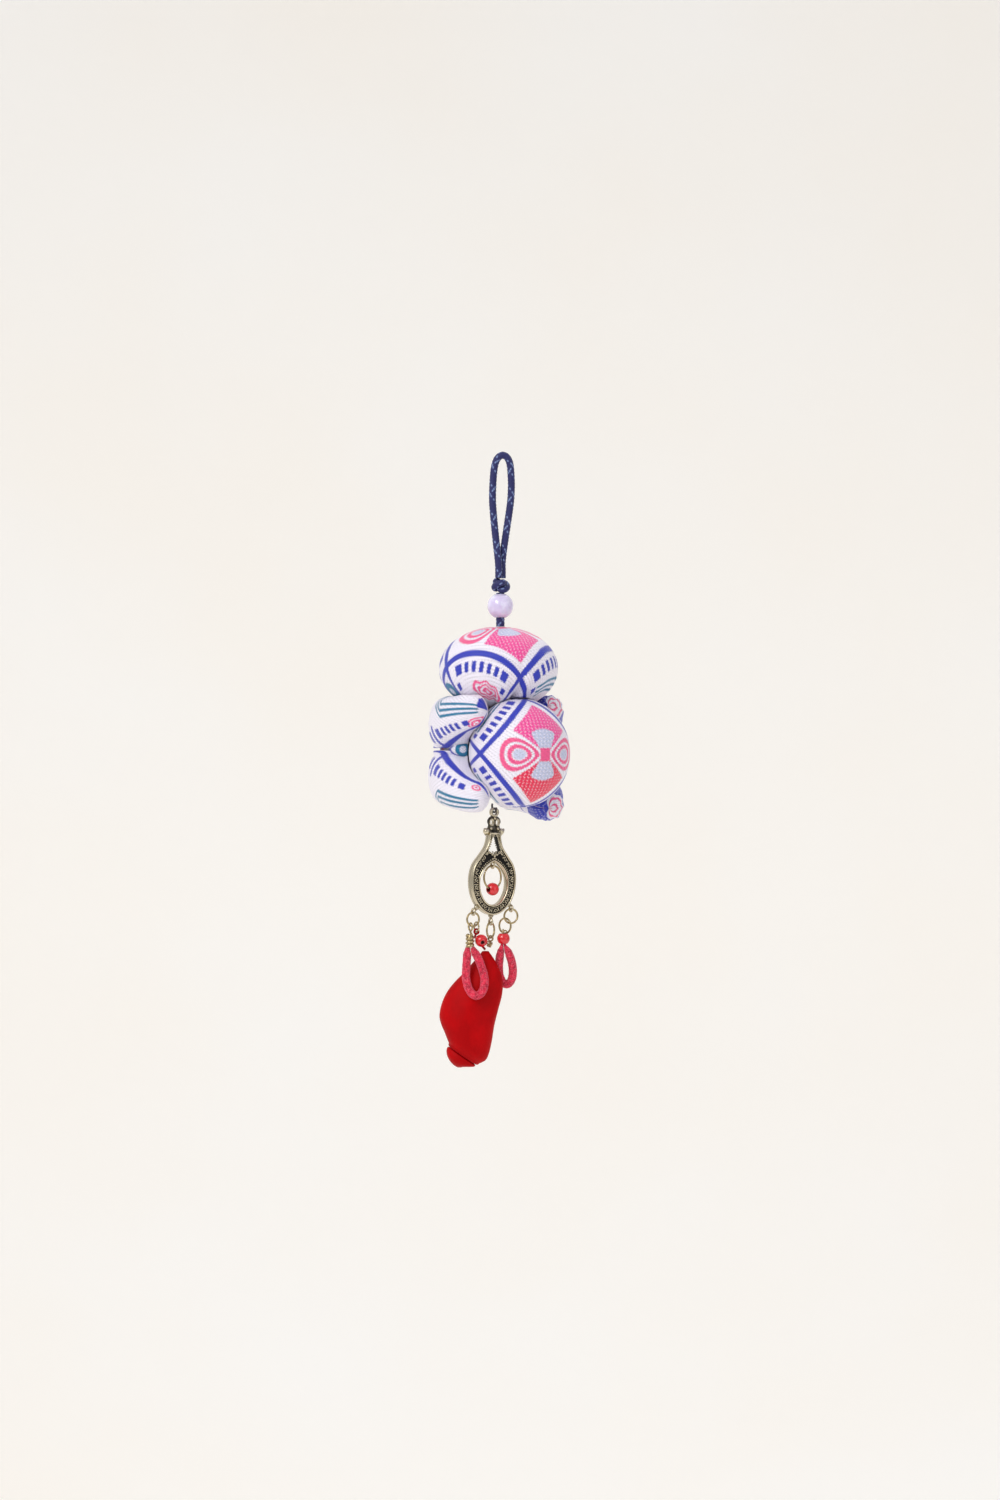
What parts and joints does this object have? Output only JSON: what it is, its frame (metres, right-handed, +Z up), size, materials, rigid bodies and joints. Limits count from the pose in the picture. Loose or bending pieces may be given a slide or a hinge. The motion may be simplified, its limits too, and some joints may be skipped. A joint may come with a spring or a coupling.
{
  "type": "brocade bag charm",
  "caption": "Hanging charm: a stuffed brocade figure hugging a ball on a braided cord, over an openwork metal drop with suede loops, small beads and a flower.",
  "frame": {"origin": "inside top of the hanging loop, where the charm hangs", "axes": "+Z up along the hanging charm, -Y towards the front view, +X to the right in that view"},
  "size_m": [0.0431, 0.0494, 0.1895],
  "materials": {
    "braided_cord": "braided navy cord with a few pale blue threads",
    "lavender_stone": "polished lavender stone with soft clouds",
    "brocade": "satin brocade, pale ground with blue frames, pink petals and teal stripes",
    "ball_brocade": "satin brocade, pink flower in a blue frame on a pale ground",
    "thread": "waxed sewing thread",
    "antique_metal": "cast metal with dark recesses and polished rims",
    "ring_brass": "brass wire, lightly tarnished",
    "painted_bead": "red lacquered bead with a little wear round the hole",
    "suede": "fuzzy pink-red suede",
    "flower_red": "matte frosted red resin"
  },
  "bodies": {
    "root": {"hanging_cord": "braided_cord", "cord_knot": "braided_cord", "stone_bead": "lavender_stone", "cord_stem": "braided_cord", "head": "brocade", "ball": "ball_brocade", "torso": "brocade", "near_arm": "brocade", "near_leg": "brocade", "far_arm": "brocade", "far_leg": "brocade", "hanger_loop": "thread"},
    "pendant": {"drop_frame": "antique_metal", "oval_ring": "ring_brass", "oval_bead": "painted_bead", "left_ring": "ring_brass", "cord_crimp": "ring_brass", "suede_loop_left": "suede", "stem_link": "ring_brass", "flower_stem": "flower_red", "middle_ring": "ring_brass", "flower_pin": "ring_brass", "flower_bead": "painted_bead", "flower_wrap": "flower_red", "flower_bud": "flower_red", "right_ring_upper": "ring_brass", "right_ring_lower": "ring_brass", "right_pin": "ring_brass", "right_bead": "painted_bead", "suede_loop_right": "suede"}
  },
  "joints": [
    {"name": "pendant_swing", "type": "hinge", "parent": "root", "child": "pendant", "pos_m": [-0.0024, -0.003, -0.1086], "axis": [-0.5, 0.866, 0], "range_deg": [-25, 25]}
  ]
}
